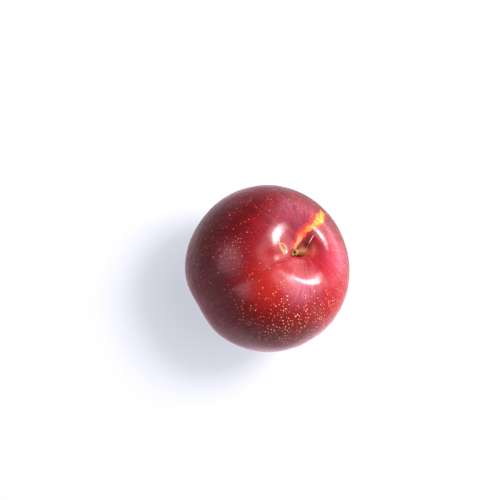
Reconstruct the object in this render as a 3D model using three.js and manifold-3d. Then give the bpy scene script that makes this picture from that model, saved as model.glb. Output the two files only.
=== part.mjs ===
// A ripe red plum, picked, with the broken base of its stalk still in the pit of the stem end.
//
// Millimetres, +Z up. The plum stands on a small flat spot at its blossom end, with its stem end up. The
// suture, the shallow valley that runs from the pit down one side, faces -Y. The origin is the middle of the
// footprint's box.
//
// Two pieces:
//   fruit          skin and flesh in one: two cheeks, suture, stem cavity, pit, flat spot and stylar dimple
//   stem_remnant   the woody stub, broken across, with one torn fibre lying up the back wall of the cavity

import * as THREE from "three";
import { mergeVertices } from "three/addons/utils/BufferGeometryUtils.js";
import Module from "manifold-3d";

const wasm = await Module();
wasm.setup();

// The body, before anything is pressed into it
const CHEEK_RADIUS = 30.1; // middle to cheek, along X
const BACK_RADIUS = 29.5; // middle to back, along Y
const TOP_HEIGHT = 28.6; // middle to where the stem end would be with no cavity
const BASE_HEIGHT = 27.6; // middle to the flat spot
const FULLNESS = 2.12; // 2 is an ellipsoid, and more is squarer
const BASE_TAPER = 0.025; // share by which the blossom end is slimmer and the stem end is wider
const BIG_CHEEK = 0.6; // the +X cheek stands out further by this

// The stem cavity, its pit and the skew between them and the body's axis
const CAVITY_DEPTH = 5.9;
const CAVITY_SPREAD = 7.2;
const PIT_DEPTH = 2.7;
const PIT_RADIUS = 5.4; // along Y, where its wall begins
const PIT_FLOOR = 0.5; // share of PIT_RADIUS that is floor
const PIT_SLIMNESS = 0.36; // share by which the pit is narrower along X than along Y
const PIT_SLIM_REACH = 6;
const PIT_CENTRE = new THREE.Vector2(0.4, 2.2); // from the body's axis
const PIT_CENTRE_REACH = 11; // past this the rings are centred on the body again

// The suture: a broad valley and the fine crease along its bottom
const VALLEY_DEPTH = 1.3;
const VALLEY_WIDTH = 8;
const VALLEY_START = [2, 8]; // radii over which it begins
const CREASE_DEPTH = 0.5;
const CREASE_WIDTH = 1.4;
const CREASE_START = [1.5, 5];
const CREASE_FADE = 0.85; // share of the crease that is gone past the shoulder
const SHOULDER_ANGLES = [0.55, 1.15]; // from the stem end, where the crease fades
const FOOT_ANGLES = [1.9, 2.9]; // where the whole suture fades
const FOOT_FADE = 0.75;

// The small unevenness that keeps a grown thing from being a lathe's: waves round the body, each with its
// height, its count, where it starts and how far it twists on the way down
const WAVES = [
  { height: 0.22, count: 2, start: 0.7, twist: 0 },
  { height: 0.16, count: 3, start: -1.1, twist: 2 },
  { height: 0.1, count: 5, start: 1.57, twist: 1 },
];

// The flat spot and the dimple in it that the flower's style left
const SPOT_RADIUS = 5.6;
const DIMPLE_RADIUS = 1.9;
const DIMPLE_DEPTH = 0.7;

// The mesh: rings are closest at the pit, and meridians at the suture
const SKIN_RINGS = 42;
const RING_GATHER = 0.62;
const MERIDIANS = 76;
const MERIDIAN_GATHER = 0.5;

// The stub in the pit, from its root to its broken end, and the fibre torn from its root. Places are from the
// middle of the pit's floor
const STUB_SIDES = 16;
const STUB_ROOT = new THREE.Vector3(0, 0.1, 0.4);
const STUB_BEND = new THREE.Vector3(0, 0.4, 2.5);
const STUB_END = new THREE.Vector3(-0.4, -3.2, 2.85);
const STUB_ROOT_RADIUS = 1.2;
const STUB_WAIST_RADIUS = 1.12;
const STUB_END_RADIUS = 1.42;
const STUB_FLATNESS = 0.8; // thickness over width
const STUB_BARK_RIDGES = 5;
const STUB_BARK_DEPTH = 0.05; // share of the radius
const SOCKET_RADIUS = 0.55; // of the hollow that the pith left in the broken end
const SOCKET_DEPTH = 0.4;
const FIBRE_RADIUS = 0.32;
const FIBRE_SIDES = 6;
const FIBRE_ROOT = new THREE.Vector3(0, 0.6, 1.1);
const FIBRE_TURN = 0.22; // from straight back, towards -X
const FIBRE_REACH = [1.6, 3.2, 4.8, 6.4]; // radii on the back wall that it passes
const FIBRE_CLEARANCE = 0.4; // from the skin

const FULL_TURN = 2 * Math.PI;
const { smoothstep } = THREE.MathUtils;
const bell = (distance, width) => Math.exp(-((distance / width) ** 2));

// Radius and height of the smooth body at an angle from the stem end
function bodyProfile(angle) {
  const side = Math.sin(angle);
  const end = Math.cos(angle);
  const tall = (end > 0 ? TOP_HEIGHT : BASE_HEIGHT) / CHEEK_RADIUS;
  const reach = (side ** FULLNESS + (Math.abs(end) / tall) ** FULLNESS) ** (-1 / FULLNESS);
  return { radius: CHEEK_RADIUS * reach * side * (1 + BASE_TAPER * end), height: CHEEK_RADIUS * reach * end };
}

// How far the cavity and its pit press the skin down, at a radius from the stem axis
function cavityDrop(radius, angle) {
  if (angle > Math.PI / 2) return 0;
  const wall = smoothstep(radius / PIT_RADIUS, PIT_FLOOR, 1);
  return CAVITY_DEPTH * bell(radius, CAVITY_SPREAD) + PIT_DEPTH * (1 - wall);
}

// How far the suture presses the skin in. Turn is measured from the suture's own meridian
function sutureDrop(radius, angle, turn) {
  const across = radius * Math.sin(turn);
  const front = smoothstep(Math.cos(turn), -0.1, 0.7);
  const down = 1 - FOOT_FADE * smoothstep(angle, ...FOOT_ANGLES);
  const valley = VALLEY_DEPTH * bell(across, VALLEY_WIDTH) * smoothstep(radius, ...VALLEY_START);
  const shoulder = 1 - CREASE_FADE * smoothstep(angle, ...SHOULDER_ANGLES);
  const crease = CREASE_DEPTH * bell(across, CREASE_WIDTH) * smoothstep(radius, ...CREASE_START) * shoulder;
  return (valley + crease) * front * down;
}

// How far the waves lift the skin, which is most at the cheeks and nothing at the ends
function unevenness(angle, turn) {
  const lift = WAVES.reduce(
    (sum, { height, count, start, twist }) => sum + height * Math.sin(count * turn + start + twist * angle),
    0,
  );
  return Math.sin(angle) ** 2 * lift;
}

// A point of the skin, at an angle from the stem end and a turn from the suture
function skinPoint(angle, turn) {
  const { radius, height } = bodyProfile(angle);
  const inward = sutureDrop(radius, angle, turn) - unevenness(angle, turn);
  const slim = 1 - PIT_SLIMNESS * bell(radius, PIT_SLIM_REACH);
  const cheek = 1 + (BIG_CHEEK / CHEEK_RADIUS) * Math.max(0, Math.sin(turn)) ** 2;
  const flatRadius = radius - inward * Math.sin(angle);
  const shift = angle < Math.PI / 2 ? bell(radius, PIT_CENTRE_REACH) : 0;
  return new THREE.Vector3(
    flatRadius * Math.sin(turn) * slim * cheek + PIT_CENTRE.x * shift,
    -flatRadius * Math.cos(turn) * (BACK_RADIUS / CHEEK_RADIUS) + PIT_CENTRE.y * shift,
    height - inward * Math.cos(angle) - cavityDrop(radius, angle),
  );
}

// The skin's outward direction there
function skinNormal(angle, turn) {
  const step = 0.01;
  const down = skinPoint(angle + step, turn).sub(skinPoint(angle, turn));
  const round = skinPoint(angle, turn + step).sub(skinPoint(angle, turn));
  return down.cross(round).normalize();
}

// The angle at which the body has come in to a radius at the blossom end
function angleOfSpot(radius) {
  let low = Math.PI / 2;
  let high = Math.PI;
  for (let step = 0; step < 40; step += 1) {
    const middle = (low + high) / 2;
    if (bodyProfile(middle).radius > radius) low = middle;
    else high = middle;
  }
  return low;
}

// Skin and flesh: a lathe's mesh, whose points are moved to the skin, the flat spot and the dimple
function fruitGeometry() {
  const spotAngle = angleOfSpot(SPOT_RADIUS);
  const spotHeight = bodyProfile(spotAngle).height;
  const footRings = [
    { radius: 0, rise: DIMPLE_DEPTH },
    { radius: DIMPLE_RADIUS * 0.5, rise: DIMPLE_DEPTH * 0.75 },
    { radius: DIMPLE_RADIUS, rise: 0 },
    { radius: SPOT_RADIUS, rise: 0 },
  ];
  const rings = footRings.length + SKIN_RINGS;
  const blank = Array.from({ length: rings }, (_, ring) => new THREE.Vector2(1, ring));
  const geometry = new THREE.LatheGeometry(blank, MERIDIANS);
  const positions = geometry.getAttribute("position");
  for (let meridian = 0; meridian <= MERIDIANS; meridian += 1) {
    const even = (FULL_TURN * meridian) / MERIDIANS;
    const turn = even - MERIDIAN_GATHER * Math.sin(even);
    for (let ring = 0; ring < rings; ring += 1) {
      const foot = footRings[ring];
      const share = (rings - 1 - ring) / SKIN_RINGS;
      const angle = spotAngle * share * (1 - RING_GATHER * (1 - share));
      const point = foot
        ? new THREE.Vector3(foot.radius * Math.sin(turn), -foot.radius * Math.cos(turn), spotHeight + foot.rise)
        : skinPoint(angle, turn);
      if (!foot) point.z = Math.max(point.z, spotHeight);
      positions.setXYZ(meridian * rings + ring, point.x, point.y, point.z);
    }
  }
  return geometry;
}

// A closed three.js geometry as a solid that can be joined
function solidOf(geometry) {
  const bare = geometry.clone();
  bare.deleteAttribute("normal");
  bare.deleteAttribute("uv");
  const merged = mergeVertices(bare, 1e-4);
  return new wasm.Manifold(
    new wasm.Mesh({
      numProp: 3,
      vertProperties: merged.getAttribute("position").array,
      triVerts: new Uint32Array(merged.index.array),
    }),
  );
}

function geometryOf(solid) {
  const mesh = solid.getMesh();
  const geometry = new THREE.BufferGeometry();
  geometry.setAttribute("position", new THREE.BufferAttribute(mesh.vertProperties.slice(), 3));
  geometry.setIndex(new THREE.BufferAttribute(mesh.triVerts.slice(), 1));
  geometry.computeVertexNormals();
  return geometry;
}

// Carries a shape made round the Y axis onto a curve, so that its height runs along the curve
function bentAlong(geometry, curve) {
  const length = curve.getLength();
  const positions = geometry.getAttribute("position");
  const across = new THREE.Vector3(1, 0, 0);
  const point = new THREE.Vector3();
  for (let index = 0; index < positions.count; index += 1) {
    point.fromBufferAttribute(positions, index);
    const share = THREE.MathUtils.clamp(point.y / length, 0, 1);
    const along = curve.getTangentAt(share);
    const side = across.clone().addScaledVector(along, -across.dot(along)).normalize();
    const rise = side.clone().cross(along);
    const place = curve.getPointAt(share);
    place.addScaledVector(side, point.x).addScaledVector(rise, point.z);
    place.addScaledVector(along, point.y - share * length);
    positions.setXYZ(index, place.x, place.y, place.z);
  }
  return geometry;
}

// The stub stands on its root at the back of the pit and leans over towards the suture
function stubGeometry(floor) {
  const places = [STUB_ROOT, STUB_BEND, STUB_END].map((place) => floor.clone().add(place));
  const curve = new THREE.QuadraticBezierCurve3(...places);
  const length = curve.getLength();
  const profile = [
    new THREE.Vector2(0, 0),
    new THREE.Vector2(STUB_ROOT_RADIUS * 0.6, length * 0.02),
    new THREE.Vector2(STUB_ROOT_RADIUS, length * 0.13),
    new THREE.Vector2(STUB_WAIST_RADIUS * 1.1, length * 0.3),
    new THREE.Vector2(STUB_WAIST_RADIUS, length * 0.5),
    new THREE.Vector2(STUB_WAIST_RADIUS * 1.1, length * 0.7),
    new THREE.Vector2(STUB_END_RADIUS, length * 0.9),
    new THREE.Vector2(STUB_END_RADIUS * 0.9, length),
    new THREE.Vector2(SOCKET_RADIUS * 1.2, length),
    new THREE.Vector2(SOCKET_RADIUS * 0.7, length - SOCKET_DEPTH),
    new THREE.Vector2(0, length - SOCKET_DEPTH),
  ];
  const geometry = new THREE.LatheGeometry(profile, STUB_SIDES);
  const positions = geometry.getAttribute("position");
  for (let index = 0; index < positions.count; index += 1) {
    const turn = Math.atan2(positions.getX(index), positions.getZ(index));
    const bark = 1 + STUB_BARK_DEPTH * Math.sin(STUB_BARK_RIDGES * turn);
    positions.setX(index, positions.getX(index) * bark);
    positions.setZ(index, positions.getZ(index) * bark * STUB_FLATNESS);
  }
  return bentAlong(geometry, curve);
}

// The fibre starts in the stub's root and lies up the back wall, just clear of the skin
function fibreGeometry(floor) {
  const turn = Math.PI + FIBRE_TURN;
  const points = FIBRE_REACH.map((radius) => {
    const angle = radius / TOP_HEIGHT;
    return skinPoint(angle, turn).addScaledVector(skinNormal(angle, turn), FIBRE_RADIUS + FIBRE_CLEARANCE);
  });
  const curve = new THREE.CatmullRomCurve3([floor.clone().add(FIBRE_ROOT), ...points]);
  const length = curve.getLength();
  const profile = [
    new THREE.Vector2(0, 0),
    new THREE.Vector2(FIBRE_RADIUS, 0),
    new THREE.Vector2(FIBRE_RADIUS, length * 0.25),
    new THREE.Vector2(FIBRE_RADIUS * 0.9, length * 0.5),
    new THREE.Vector2(FIBRE_RADIUS * 0.8, length * 0.75),
    new THREE.Vector2(FIBRE_RADIUS * 0.4, length),
    new THREE.Vector2(0, length),
  ];
  return bentAlong(new THREE.LatheGeometry(profile, FIBRE_SIDES), curve);
}

const skinPaint = new THREE.MeshStandardMaterial({ color: 0x8f1a24, roughness: 0.32, metalness: 0 });
const barkPaint = new THREE.MeshStandardMaterial({ color: 0x9a6a30, roughness: 0.7, metalness: 0 });

const floor = skinPoint(0, 0);
const pieces = [
  ["fruit", fruitGeometry(), skinPaint],
  ["stem_remnant", geometryOf(solidOf(stubGeometry(floor)).add(solidOf(fibreGeometry(floor)))), barkPaint],
];

// The origin goes to the middle of the box's underside
const [, fruitShape] = pieces[0];
fruitShape.computeBoundingBox();
const box = fruitShape.boundingBox;
const toOrigin = new THREE.Vector3(-(box.min.x + box.max.x) / 2, -(box.min.y + box.max.y) / 2, -box.min.z);

const plum = new THREE.Group();
for (const [name, geometry, material] of pieces) {
  const mesh = new THREE.Mesh(geometry, material);
  mesh.name = name;
  mesh.position.copy(toOrigin);
  plum.add(mesh);
}

export default plum;
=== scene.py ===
"""A ripe red plum, picked, with the broken base of its stalk in the pit of the stem end."""

import math

import bpy
import numpy as np
from mathutils import Matrix, Vector
from mathutils.bvhtree import BVHTree


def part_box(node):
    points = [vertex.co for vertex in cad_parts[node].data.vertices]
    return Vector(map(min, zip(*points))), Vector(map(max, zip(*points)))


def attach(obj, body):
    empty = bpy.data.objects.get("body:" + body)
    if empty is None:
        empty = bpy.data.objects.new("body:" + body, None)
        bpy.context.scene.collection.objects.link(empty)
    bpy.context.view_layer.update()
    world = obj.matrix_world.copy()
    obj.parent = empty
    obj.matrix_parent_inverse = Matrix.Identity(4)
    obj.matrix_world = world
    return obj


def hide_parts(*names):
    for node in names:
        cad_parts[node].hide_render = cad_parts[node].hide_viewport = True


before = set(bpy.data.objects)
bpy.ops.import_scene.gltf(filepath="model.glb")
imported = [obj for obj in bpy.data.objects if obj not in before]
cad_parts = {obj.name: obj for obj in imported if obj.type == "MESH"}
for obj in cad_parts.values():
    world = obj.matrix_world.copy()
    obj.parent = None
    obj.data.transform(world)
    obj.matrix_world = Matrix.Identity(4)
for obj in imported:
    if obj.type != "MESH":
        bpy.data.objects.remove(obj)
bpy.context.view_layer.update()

MM = 0.001
FULL_TURN = 2 * math.pi

# The camera looks down on the stem end from the suture's side, rolled as the photograph is
FRAME_PIXELS = 500
PLUM_PIXEL = (268.0, 268.5)
CAMERA_ELEVATION = math.radians(60)
CAMERA_ROLL = math.radians(61.5)
CAMERA_DISTANCE = 0.505
CAMERA_LENS = 100.0
CAMERA_SENSOR = 36.0
CAMERA_CLIP = (0.01, 20)

# The body before anything is pressed into it, in millimetres, as the solid has it
CHEEK_RADIUS = 30.1
BACK_RADIUS = 29.5
TOP_HEIGHT = 28.6
BASE_HEIGHT = 27.6
FULLNESS = 2.12
BASE_TAPER = 0.025
BIG_CHEEK = 0.6

# The stem cavity, its pit and the skew between them and the body's axis
CAVITY_DEPTH = 5.9
CAVITY_SPREAD = 7.2
PIT_DEPTH = 0.9
PIT_RADIUS = 4.4
PIT_FLOOR = 0.5
PIT_SLIMNESS = 0.36
PIT_SLIM_REACH = 6.0
PIT_CENTRE = (0.4, 2.2)
PIT_CENTRE_REACH = 11.0
PIT_LEAN = (-0.3, 1.5)
PIT_LEAN_REACH = 5.0

# The suture: a broad valley, the crease along its bottom and the hair line in the crease
VALLEY_DEPTH = 1.3
VALLEY_WIDTH = 8.0
VALLEY_START = (2.0, 8.0)
CREASE_DEPTH = 0.34
CREASE_WIDTH = 1.7
CREASE_START = (1.5, 5.0)
CREASE_FADE = 0.85
SHOULDER_ANGLES = (0.55, 1.15)
FOOT_ANGLES = (1.9, 2.9)
FOOT_FADE = 0.75
FRONT_TURNS = (-0.1, 0.7)
SUTURE_WANDER = 0.3
SUTURE_TURNS = 0.55
LINE_DEPTH = 0.04
LINE_WIDTH = 0.5

# Waves round the body: height, count, start and twist on the way down
WAVES = ((0.22, 2, 0.7, 0.0), (0.16, 3, -1.1, 2.0), (0.1, 5, 1.57, 1.0))

# The flat spot and the dimple in it
SPOT_RADIUS = 5.6
DIMPLE_RADIUS = 1.9
DIMPLE_DEPTH = 0.7
DIMPLE_SPREAD = 0.6

# The skin's mesh, finer near the pit and on the suture's side
SKIN_RINGS = 236
RING_GATHER = 0.62
MERIDIANS = 360
MERIDIAN_GATHER = 0.42
FOOT_RINGS = 8
SPOT_HALVINGS = 40

# The plain skin that the photograph's pixels are looked up on
SEARCH_ANGLES = (0.001, 1.6)
SEARCH_RINGS = 160
SEARCH_SIDES = 240

# The skin's fine relief, which fades out above the flat spot: height, size and seed of its bumps, and count
# and start of the puckers round the pit
FOOT_BLEND = 0.25
BUMPS = ((0.045, 6.5, 3), (0.02, 2.4, 4))
PUCKERS = ((7, 0.3), (12, 1.9), (19, 4.0), (31, 2.2))
PUCKER_HEIGHT = 0.012
PUCKER_RADIUS = 5
PUCKER_REACH = 4

# Shallow hollows in the crest round the cavity, and a swelling beside it, whose depth is below nought:
# pixel, reach and depth in millimetres
CREST_HOLLOWS = (((289, 228), 3.8, 0.45), ((322, 236), 3.4, 0.25), ((320, 292), 5.0, -0.6))

# The sharper edges of the crest, on the sunny side and beside the suture: pixels along each, half widths
# and height in millimetres
SUNNY_EDGE = ((293, 272), (297, 277), (303, 280.5), (310, 283), (317, 284), (322, 282))
SUTURE_EDGE = ((274.5, 263), (279, 260.3), (283.5, 257.5))
EDGES = ((SUNNY_EDGE, (1.6, 2.0, 2.2, 2.2, 2.0, 1.6), 0.2), (SUTURE_EDGE, (0.9, 1.1, 0.9), 0.12))

# A pale stripe of skin from the pit over the back shoulder: pixels along its middle in the photograph, its
# half width in millimetres at each, and how frayed its sides are
STRIPE_PIXELS = ((296, 246.5), (299, 241), (301.5, 236), (304.5, 232), (308.5, 229.5), (312.5, 227),
                 (316.5, 223.5), (320.5, 218.5), (322, 213))
STRIPE_HALF_WIDTHS = (1.2, 1.1, 1.1, 1.0, 0.95, 1.1, 1.5, 2.0, 1.3)
STRIPE_EDGE = (0.3, 1.5)
FRAY_WIDTH = 0.35
FRAY_SIZE = 1.5
FRAY_SEEDS = (21, 22, 23)

# The orange halo on one side of the stripe
HALO_SHIFT = (-0.9, -0.5, 0.1)
HALO_WIDENING = 1.2
HALO_EDGE = (0.4, 1.7)
HALO_END = (0.95, 0.6)

# The corky russet at the stripe's far end
RUSSET_PIXEL = (319.5, 217.5)
RUSSET_REACH = 2.6
RUSSET_HEIGHT = 0.05
RUSSET_GRAIN = 0.7
RUSSET_SEED = 5

# A healed scratch beside the pit, with a groove and a raised lip, and a small nick on the front; the lip's
# place and the edges are in half widths
SCRATCH_PIXELS = ((280, 240.5), (281.2, 244), (283, 248), (285.3, 250.8))
SCRATCH_HALF_WIDTHS = (0.25, 0.5, 1.2, 1.15)
SCRATCH_GROOVE_DEPTH = 0.16
SCRATCH_GROOVE_WIDTH = 0.5
SCRATCH_LIP_HEIGHT = 0.12
SCRATCH_LIP_PLACE = 0.9
SCRATCH_LIP_WIDTH = 0.35
SCRATCH_EDGE = (0.5, 1.5)
SCRATCH_CORE_EDGE = (0.1, 0.7)
NICK_PIXELS = ((250, 310.5), (251.5, 305.5))
NICK_HALF_WIDTHS = (0.3, 0.22)
NICK_DEPTH = 0.08
NICK_EDGE = (0.5, 1.6)

# The skin's colour zones: the redder front and the brighter side, each a place and a reach in millimetres,
# and the dark sides, which set in between two angles from the stem end; the brighter side is partly painted
# light and the dark sides partly painted shade
RED_FRONT = ((5, -17, 50), 9)
REDDER_LIT_SIDE = ((21, 9, 45), 20)
REDDER_LIT_SIDE_SPARES = 0.75
ZONE_WANDER = 0.35
ZONE_WANDER_SIZE = 22
ZONE_WANDER_SEED = 31
RED_WANDER = 0.3
DARK_ANGLES = (0.35, 1.05)
DARK_WANDER = 0.25

# Painted light: a redder patch on the dark cheek, where a soft reflection lies
LIT_PIXEL = (227, 257)
LIT_REACH = 6
LIT_SHARE = 0.5

# Painted light in the pit: a rose tint round a place just under the pit, and a pale patch on the pit's wall
# by the stub, where the stub's shadow falls
PAINTED_LIGHT_UNDER_PIT = (0.15, 1.73, 47.5)
PAINTED_LIGHT_UNDER_PIT_REACH = 3.4
PAINTED_LIGHT_UNDER_PIT_SHARE = 0.3
PAINTED_LIGHT_PIXEL = (311, 250)
PAINTED_LIGHT_REACH = 1.9
PAINTED_LIGHT_SHARE = 0.65

# Painted shade: a darker line in the suture's crease, out to the front
DARK_LINE_WIDTH = 0.42
DARK_LINE_TURNS = (0, 0.5)
DARK_LINE_RADII = (5, 10)

# The shady side of the cavity, where the bloom is whole and the red is darkened as painted shade: the turn
# of its middle, its width in degrees, the radii that it fades between and how much of its dust shows
SHADY_TURN = math.radians(-113)
SHADY_WIDTH = 42
SHADY_RADII = (22, 13)
SHADY_POWDER = 0.3

# How dull the skin is everywhere, with patches, how much of that shows as dust, and how dull the suture is
DULLNESS = 0.2
DULL_PATCHES = 0.12
DULL_PATCH_SIZE = 9
DULL_PATCH_SEED = 33
DULL_POWDER = 0.2
SUTURE_DULLNESS = 0.5
SUTURE_DULL_WIDTH = 1.3
SUTURE_DULL_RADII = (17, 12)

# Where the dust of the bloom lies, and where mauve painted sheen and painted reflections are laid on as more
# dust, and where the skin is rubbed matt, as pixel, reach in millimetres and amount, and where it is
# polished, as pixel and reach
POWDER_AND_SHEEN = (((303, 292), 5.3, 0.95), ((340, 260), 6.5, 0.95), ((294, 210), 5.5, 0.5), ((225, 255), 5.5, 0.3),
          ((246, 290), 4.0, 0.2))
RUBBED = (((330, 259), 5.5, 0.95), ((325, 267), 4.0, 0.85), ((285, 270), 3.5, 0.6), ((321, 238), 5.0, 0.15),
          ((273, 252), 3.0, 0.75), ((328, 300), 6.0, 0.55), ((297, 320), 6.0, 0.5))
POLISHED = (((276, 231), 4.0), ((280, 260), 2.4), ((318, 233), 2.6))

# How thick the dots stand: everywhere, in the crowd on the front, in patches and low on the sides, with
# none near the pit or on the flat spot
THICK_PIXEL = (304, 312)
THICK_REACH = 14
PLAIN_SHARE = 0.22
THICK_SHARE = 0.75
DOT_PATCHES = 0.12
DOT_PATCH_SIZE = 12
DOT_PATCH_SEED = 34
LOW_SHARE = 0.3
LOW_ANGLES = (1.2, 1.8)
FIRST_DOT_ANGLES = (0.42, 0.8)
BARE_FOOT_HEIGHT = 0.3
PLAIN_DOT_SIZE = 0.72
THICK_DOT_SIZE = 0.4


# Small helpers

def smoothstep(value, low, high):
    share = np.clip((value - low) / (high - low), 0, 1)
    return share * share * (3 - 2 * share)


def bell(distance, width):
    return np.exp(-((distance / width) ** 2))


def soft_spot(points, place, reach):
    """How near each point is to a place: 1 at it, and next to nothing at twice the reach."""
    return bell(np.linalg.norm(points - place, axis=-1), reach)


def ripple(points, size, seed, waves=24, spread=(0.6, 1.5)):
    """A smooth random value from about -1 to 1 at each point, with bumps of about the given size."""
    draw = np.random.default_rng(seed)
    directions = draw.normal(size=(waves, 3))
    directions /= np.linalg.norm(directions, axis=1)[:, None]
    numbers = directions * (math.pi / size) * draw.uniform(*spread, waves)[:, None]
    starts = draw.uniform(0, FULL_TURN, waves)
    return np.sin(points @ numbers.T + starts).sum(-1) / math.sqrt(waves)


def path_distance(points, path, widths):
    """How far each point is from a path, in the path's half widths, and how far along it, from 0 to 1."""
    best = np.full(points.shape[:-1], np.inf)
    along = np.zeros(points.shape[:-1])
    path = np.asarray(path, float)
    last = len(path) - 1
    for index in range(last):
        step = path[index + 1] - path[index]
        share = np.clip(((points - path[index]) @ step) / (step @ step), 0, 1)
        away = np.linalg.norm(points - path[index] - share[..., None] * step, axis=-1)
        away = away / (widths[index] + share * (widths[index + 1] - widths[index]))
        nearer = away < best
        best = np.where(nearer, away, best)
        along = np.where(nearer, (index + share) / last, along)
    return best, along


# The plum's form: the solid's body and suture, and its cavity with a shallower, narrower pit

def body_profile(angle):
    side, end = np.sin(angle), np.cos(angle)
    tall = np.where(end > 0, TOP_HEIGHT, BASE_HEIGHT) / CHEEK_RADIUS
    reach = (side ** FULLNESS + (np.abs(end) / tall) ** FULLNESS) ** (-1 / FULLNESS)
    return CHEEK_RADIUS * reach * side * (1 + BASE_TAPER * end), CHEEK_RADIUS * reach * end


def cavity_drop(radius, angle):
    wall = smoothstep(radius / PIT_RADIUS, PIT_FLOOR, 1)
    drop = CAVITY_DEPTH * bell(radius, CAVITY_SPREAD) + PIT_DEPTH * (1 - wall)
    return np.where(angle > math.pi / 2, 0, drop)


def off_suture(radius, turn):
    """How far to the side of the suture's wandering line a point is."""
    return radius * np.sin(turn) + SUTURE_WANDER * np.sin(SUTURE_TURNS * radius)


def suture_drop(radius, angle, turn):
    across = off_suture(radius, turn)
    front = smoothstep(np.cos(turn), *FRONT_TURNS)
    down = 1 - FOOT_FADE * smoothstep(angle, *FOOT_ANGLES)
    shoulder = 1 - CREASE_FADE * smoothstep(angle, *SHOULDER_ANGLES)
    start = smoothstep(radius, *CREASE_START)
    valley = VALLEY_DEPTH * bell(across, VALLEY_WIDTH) * smoothstep(radius, *VALLEY_START)
    crease = CREASE_DEPTH * bell(across, CREASE_WIDTH) * start * shoulder
    line = LINE_DEPTH * bell(across, LINE_WIDTH) * start * shoulder
    return (valley + crease + line) * front * down


def unevenness(angle, turn):
    lift = sum(height * np.sin(count * turn + start + twist * angle)
               for height, count, start, twist in WAVES)
    return np.sin(angle) ** 2 * lift


def skin_point(angle, turn):
    """Points of the skin in millimetres from the body's middle, at an angle from the stem end and a turn."""
    radius, height = body_profile(angle)
    inward = suture_drop(radius, angle, turn) - unevenness(angle, turn)
    slim = 1 - PIT_SLIMNESS * bell(radius, PIT_SLIM_REACH)
    cheek = 1 + (BIG_CHEEK / CHEEK_RADIUS) * np.maximum(0, np.sin(turn)) ** 2
    flat = radius - inward * np.sin(angle)
    shift = np.where(angle < math.pi / 2, bell(radius, PIT_CENTRE_REACH), 0)
    lean = np.where(angle < math.pi / 2, bell(radius, PIT_LEAN_REACH), 0)
    return np.stack([
        flat * np.sin(turn) * slim * cheek + PIT_CENTRE[0] * shift + PIT_LEAN[0] * lean,
        -flat * np.cos(turn) * (BACK_RADIUS / CHEEK_RADIUS) + PIT_CENTRE[1] * shift + PIT_LEAN[1] * lean,
        height - inward * np.cos(angle) - cavity_drop(radius, angle),
    ], -1)


def pit_bottom():
    """The lowest place of the pit, where the turn doesn't matter."""
    return skin_point(np.array(0.0), np.array(0.0))


def spot_angle():
    """The angle at which the body narrows to the flat spot, by halving."""
    low, high = math.pi / 2, math.pi
    for _ in range(SPOT_HALVINGS):
        middle = (low + high) / 2
        if body_profile(np.array(middle))[0] > SPOT_RADIUS:
            low = middle
        else:
            high = middle
    return low


# Pieces and the values on their points

def add_object(name, data):
    made = bpy.data.objects.new(name, data)
    bpy.context.scene.collection.objects.link(made)
    return made


def closed_mesh(name, rings, first, last):
    """A closed mesh of rings of points from the first pole to the last, with its faces pointing out."""
    count, sides = rings.shape[:2]
    points = np.concatenate([[first], rings.reshape(-1, 3), [last]])
    ring = np.arange(sides)
    after = (ring + 1) % sides
    faces = [(0, 1 + a, 1 + b) for a, b in zip(ring, after)]
    for row in range(count - 1):
        here, there = 1 + row * sides, 1 + (row + 1) * sides
        faces += [(here + a, there + a, there + b, here + b) for a, b in zip(ring, after)]
    end = 1 + (count - 1) * sides
    faces += [(end + a, len(points) - 1, end + b) for a, b in zip(ring, after)]
    mesh = bpy.data.meshes.new(name)
    mesh.from_pydata(points.tolist(), [], faces)
    mesh.shade_smooth()
    return add_object(name, mesh)


def give(piece, name, values, kind="FLOAT"):
    """Writes one value for each point of a piece, for its material to read."""
    field = "value" if kind == "FLOAT" else "vector"
    made = piece.data.attributes.new(name, kind, "POINT")
    made.data.foreach_set(field, np.asarray(values, np.float32).ravel())


# The frame's place for the body: the middle of the solid's box, and its underside

fruit_low, fruit_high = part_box("fruit")


def fruit_origin(points):
    """What moves points about the body's middle, in millimetres, to the solid's place."""
    low, high = points.reshape(-1, 3).min(0), points.reshape(-1, 3).max(0)
    middle = np.array([(fruit_low[0] + fruit_high[0]) / 2, (fruit_low[1] + fruit_high[1]) / 2]) / MM
    return np.array([middle[0] - (low[0] + high[0]) / 2, middle[1] - (low[1] + high[1]) / 2,
                     fruit_low[2] / MM - low[2]])


def seen_on_skin(pixels, origin):
    """Where these pixels of the photograph show the plain skin, in millimetres, and which way it faces."""
    angles = np.linspace(*SEARCH_ANGLES, SEARCH_RINGS)
    turns = np.linspace(0, FULL_TURN, SEARCH_SIDES, endpoint=False)
    angle, turn = np.meshgrid(angles, turns, indexing="ij")
    points = (skin_point(angle, turn) + origin).reshape(-1, 3)
    row, column = np.meshgrid(np.arange(SEARCH_RINGS - 1), np.arange(SEARCH_SIDES), indexing="ij")
    here, after = row * SEARCH_SIDES + column, row * SEARCH_SIDES + (column + 1) % SEARCH_SIDES
    faces = np.stack([here, here + SEARCH_SIDES, after + SEARCH_SIDES, after], -1).reshape(-1, 4)
    tree = BVHTree.FromPolygons(points.tolist(), faces.tolist())
    eye = camera_place / MM
    step = CAMERA_SENSOR / CAMERA_LENS / FRAME_PIXELS
    places, normals = [], []
    for across, down in pixels:
        aside = camera_right * (across - FRAME_PIXELS / 2) * step
        below = camera_up * (down - FRAME_PIXELS / 2) * step
        ray = aside - below - camera_back
        place, normal, _, _ = tree.ray_cast(eye, ray.normalized())
        places.append(place)
        normals.append(normal if normal.dot(ray) < 0 else -normal)
    return np.array(places), np.array(normals)


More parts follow.
